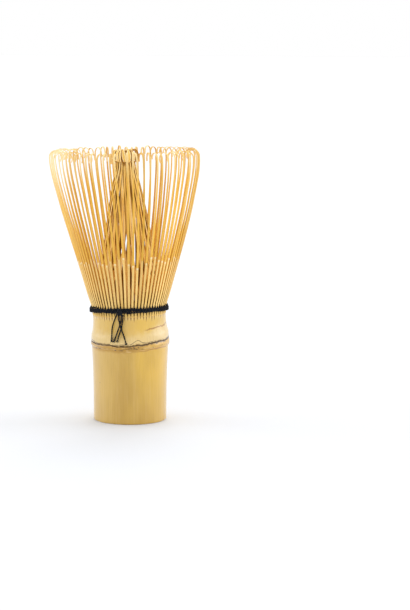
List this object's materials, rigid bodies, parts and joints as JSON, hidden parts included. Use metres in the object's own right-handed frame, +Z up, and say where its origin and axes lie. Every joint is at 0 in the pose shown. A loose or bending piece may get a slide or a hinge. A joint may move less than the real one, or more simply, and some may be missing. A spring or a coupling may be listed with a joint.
{
  "type": "bamboo tea whisk",
  "caption": "Upright tea whisk carved from one bamboo culm: flared outer tines with curled tips, an inner cone of tines and a black thread binding.",
  "frame": {"origin": "centre of the cut end of the grip, on the surface that it stands on", "axes": "+Z up along the grip, towards the tines; -Y towards the thread's knot"},
  "size_m": [0.0611, 0.0612, 0.1107],
  "materials": {
    "culm_bamboo": "dried culm bamboo skin, waxy satin",
    "tine_bamboo": "shaved bamboo, satin",
    "tip_bamboo": "thin curled bamboo, slightly translucent",
    "black_thread": "two-ply cotton thread, matt"
  },
  "bodies": {
    "handle": {"grip_culm": "culm_bamboo", "node_ring": "culm_bamboo", "node_diaphragm": "culm_bamboo", "split_collar": "culm_bamboo", "inner_tines_01": "tine_bamboo", "inner_tines_02": "tine_bamboo", "inner_tines_03": "tine_bamboo", "inner_tines_04": "tine_bamboo", "inner_tines_05": "tine_bamboo", "inner_tines_06": "tine_bamboo", "inner_tines_07": "tine_bamboo", "inner_tines_08": "tine_bamboo", "inner_tines_09": "tine_bamboo", "inner_tines_10": "tine_bamboo", "inner_tines_11": "tine_bamboo", "inner_tines_12": "tine_bamboo", "tip_rosette": "tip_bamboo", "thread_outer_band": "black_thread", "thread_inner_ring": "black_thread", "thread_crossings": "black_thread", "thread_knot": "black_thread", "thread_tail_1": "black_thread", "thread_tail_2": "black_thread", "thread_tail_3": "black_thread", "thread_tail_4": "black_thread"},
    "splint_01": {"outer_tines_01": "tine_bamboo"},
    "splint_02": {"outer_tines_02": "tine_bamboo"},
    "splint_03": {"outer_tines_03": "tine_bamboo"},
    "splint_04": {"outer_tines_04": "tine_bamboo"},
    "splint_05": {"outer_tines_05": "tine_bamboo"},
    "splint_06": {"outer_tines_06": "tine_bamboo"},
    "splint_07": {"outer_tines_07": "tine_bamboo"},
    "splint_08": {"outer_tines_08": "tine_bamboo"},
    "splint_09": {"outer_tines_09": "tine_bamboo"},
    "splint_10": {"outer_tines_10": "tine_bamboo"},
    "splint_11": {"outer_tines_11": "tine_bamboo"},
    "splint_12": {"outer_tines_12": "tine_bamboo"},
    "splint_13": {"outer_tines_13": "tine_bamboo"},
    "splint_14": {"outer_tines_14": "tine_bamboo"},
    "splint_15": {"outer_tines_15": "tine_bamboo"},
    "splint_16": {"outer_tines_16": "tine_bamboo"},
    "splint_17": {"outer_tines_17": "tine_bamboo"},
    "splint_18": {"outer_tines_18": "tine_bamboo"},
    "splint_19": {"outer_tines_19": "tine_bamboo"},
    "splint_20": {"outer_tines_20": "tine_bamboo"},
    "splint_21": {"outer_tines_21": "tine_bamboo"},
    "splint_22": {"outer_tines_22": "tine_bamboo"},
    "splint_23": {"outer_tines_23": "tine_bamboo"},
    "splint_24": {"outer_tines_24": "tine_bamboo"}
  },
  "joints": [
    {"name": "flex_01", "type": "hinge", "parent": "handle", "child": "splint_01", "pos_m": [0.01436, 0.00129, 0.04843], "axis": [-0.0871, 0.9962, -0.0024], "range_deg": [-4, 4], "stiffness_Nm_per_rad": 0.011},
    {"name": "flex_02", "type": "hinge", "parent": "handle", "child": "splint_02", "pos_m": [0.01352, 0.00507, 0.0484], "axis": [-0.3419, 0.9397, -0.0095], "range_deg": [-4, 4], "stiffness_Nm_per_rad": 0.011},
    {"name": "flex_03", "type": "hinge", "parent": "handle", "child": "splint_03", "pos_m": [0.01173, 0.0085, 0.04835], "axis": [-0.5734, 0.8192, -0.016], "range_deg": [-4, 4], "stiffness_Nm_per_rad": 0.011},
    {"name": "flex_04", "type": "hinge", "parent": "handle", "child": "splint_04", "pos_m": [0.00912, 0.01136, 0.04828], "axis": [-0.7657, 0.6428, -0.0214], "range_deg": [-4, 4], "stiffness_Nm_per_rad": 0.011},
    {"name": "flex_05", "type": "hinge", "parent": "handle", "child": "splint_05", "pos_m": [0.00586, 0.01344, 0.04819], "axis": [-0.906, 0.4226, -0.0253], "range_deg": [-4, 4], "stiffness_Nm_per_rad": 0.011},
    {"name": "flex_06", "type": "hinge", "parent": "handle", "child": "splint_06", "pos_m": [0.00217, 0.0146, 0.04809], "axis": [-0.9844, 0.1736, -0.0275], "range_deg": [-4, 4], "stiffness_Nm_per_rad": 0.011},
    {"name": "flex_07", "type": "hinge", "parent": "handle", "child": "splint_07", "pos_m": [-0.0017, 0.01477, 0.04798], "axis": [-0.9958, -0.0872, -0.0278], "range_deg": [-4, 4], "stiffness_Nm_per_rad": 0.011},
    {"name": "flex_08", "type": "hinge", "parent": "handle", "child": "splint_08", "pos_m": [-0.00547, 0.01393, 0.04787], "axis": [-0.9393, -0.342, -0.0262], "range_deg": [-4, 4], "stiffness_Nm_per_rad": 0.011},
    {"name": "flex_09", "type": "hinge", "parent": "handle", "child": "splint_09", "pos_m": [-0.0089, 0.01214, 0.04778], "axis": [-0.8188, -0.5736, -0.0229], "range_deg": [-4, 4], "stiffness_Nm_per_rad": 0.011},
    {"name": "flex_10", "type": "hinge", "parent": "handle", "child": "splint_10", "pos_m": [-0.01176, 0.00953, 0.0477], "axis": [-0.6425, -0.766, -0.0179], "range_deg": [-4, 4], "stiffness_Nm_per_rad": 0.011},
    {"name": "flex_11", "type": "hinge", "parent": "handle", "child": "splint_11", "pos_m": [-0.01384, 0.00626, 0.04764], "axis": [-0.4225, -0.9063, -0.0118], "range_deg": [-4, 4], "stiffness_Nm_per_rad": 0.011},
    {"name": "flex_12", "type": "hinge", "parent": "handle", "child": "splint_12", "pos_m": [-0.015, 0.00257, 0.04761], "axis": [-0.1736, -0.9848, -0.0048], "range_deg": [-4, 4], "stiffness_Nm_per_rad": 0.011},
    {"name": "flex_13", "type": "hinge", "parent": "handle", "child": "splint_13", "pos_m": [-0.01517, -0.00129, 0.0476], "axis": [0.0871, -0.9962, 0.0024], "range_deg": [-4, 4], "stiffness_Nm_per_rad": 0.011},
    {"name": "flex_14", "type": "hinge", "parent": "handle", "child": "splint_14", "pos_m": [-0.01433, -0.00507, 0.04763], "axis": [0.3419, -0.9397, 0.0095], "range_deg": [-4, 4], "stiffness_Nm_per_rad": 0.011},
    {"name": "flex_15", "type": "hinge", "parent": "handle", "child": "splint_15", "pos_m": [-0.01255, -0.0085, 0.04768], "axis": [0.5734, -0.8192, 0.016], "range_deg": [-4, 4], "stiffness_Nm_per_rad": 0.011},
    {"name": "flex_16", "type": "hinge", "parent": "handle", "child": "splint_16", "pos_m": [-0.00993, -0.01136, 0.04775], "axis": [0.7657, -0.6428, 0.0214], "range_deg": [-4, 4], "stiffness_Nm_per_rad": 0.011},
    {"name": "flex_17", "type": "hinge", "parent": "handle", "child": "splint_17", "pos_m": [-0.00667, -0.01344, 0.04784], "axis": [0.906, -0.4226, 0.0253], "range_deg": [-4, 4], "stiffness_Nm_per_rad": 0.011},
    {"name": "flex_18", "type": "hinge", "parent": "handle", "child": "splint_18", "pos_m": [-0.00298, -0.0146, 0.04794], "axis": [0.9844, -0.1736, 0.0275], "range_deg": [-4, 4], "stiffness_Nm_per_rad": 0.011},
    {"name": "flex_19", "type": "hinge", "parent": "handle", "child": "splint_19", "pos_m": [0.00089, -0.01477, 0.04805], "axis": [0.9958, 0.0872, 0.0278], "range_deg": [-4, 4], "stiffness_Nm_per_rad": 0.011},
    {"name": "flex_20", "type": "hinge", "parent": "handle", "child": "splint_20", "pos_m": [0.00466, -0.01393, 0.04816], "axis": [0.9393, 0.342, 0.0262], "range_deg": [-4, 4], "stiffness_Nm_per_rad": 0.011},
    {"name": "flex_21", "type": "hinge", "parent": "handle", "child": "splint_21", "pos_m": [0.00809, -0.01214, 0.04825], "axis": [0.8188, 0.5736, 0.0229], "range_deg": [-4, 4], "stiffness_Nm_per_rad": 0.011},
    {"name": "flex_22", "type": "hinge", "parent": "handle", "child": "splint_22", "pos_m": [0.01095, -0.00953, 0.04833], "axis": [0.6425, 0.766, 0.0179], "range_deg": [-4, 4], "stiffness_Nm_per_rad": 0.011},
    {"name": "flex_23", "type": "hinge", "parent": "handle", "child": "splint_23", "pos_m": [0.01303, -0.00626, 0.04839], "axis": [0.4225, 0.9063, 0.0118], "range_deg": [-4, 4], "stiffness_Nm_per_rad": 0.011},
    {"name": "flex_24", "type": "hinge", "parent": "handle", "child": "splint_24", "pos_m": [0.01419, -0.00257, 0.04842], "axis": [0.1736, 0.9848, 0.0048], "range_deg": [-4, 4], "stiffness_Nm_per_rad": 0.011}
  ]
}
